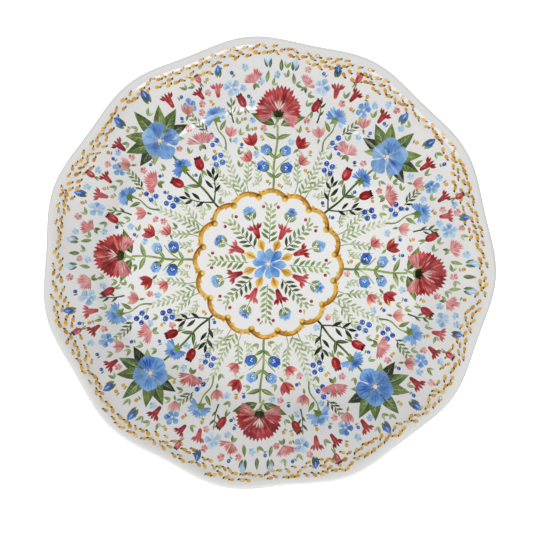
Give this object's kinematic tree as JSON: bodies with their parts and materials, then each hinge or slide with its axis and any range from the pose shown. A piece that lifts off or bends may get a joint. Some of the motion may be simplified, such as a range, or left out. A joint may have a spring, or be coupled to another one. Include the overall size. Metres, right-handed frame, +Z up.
{
  "type": "serving bowl",
  "caption": "Wide, shallow porcelain serving bowl with a scalloped, rolled lip, a foot ring and a floral print inside.",
  "frame": {"origin": "on the table plane at the centre of the foot ring, which is the bowl's own axis", "axes": "+Z up along the bowl's axis, out of its mouth; +X through the middle of one lobe of the rim"},
  "size_m": [0.3167, 0.3184, 0.075],
  "materials": {
    "glazed_porcelain": "glossy clear glaze over white porcelain",
    "unglazed_porcelain": "matte, unglazed and lightly ground",
    "transfer_print": "watercolour floral print under clear glaze"
  },
  "bodies": {
    "root": {"bowl_body": "glazed_porcelain", "foot_ring": "unglazed_porcelain", "medallion_transfer": "transfer_print", "quarter_transfer_1": "transfer_print", "quarter_transfer_2": "transfer_print", "quarter_transfer_3": "transfer_print", "quarter_transfer_4": "transfer_print"}
  },
  "joints": []
}
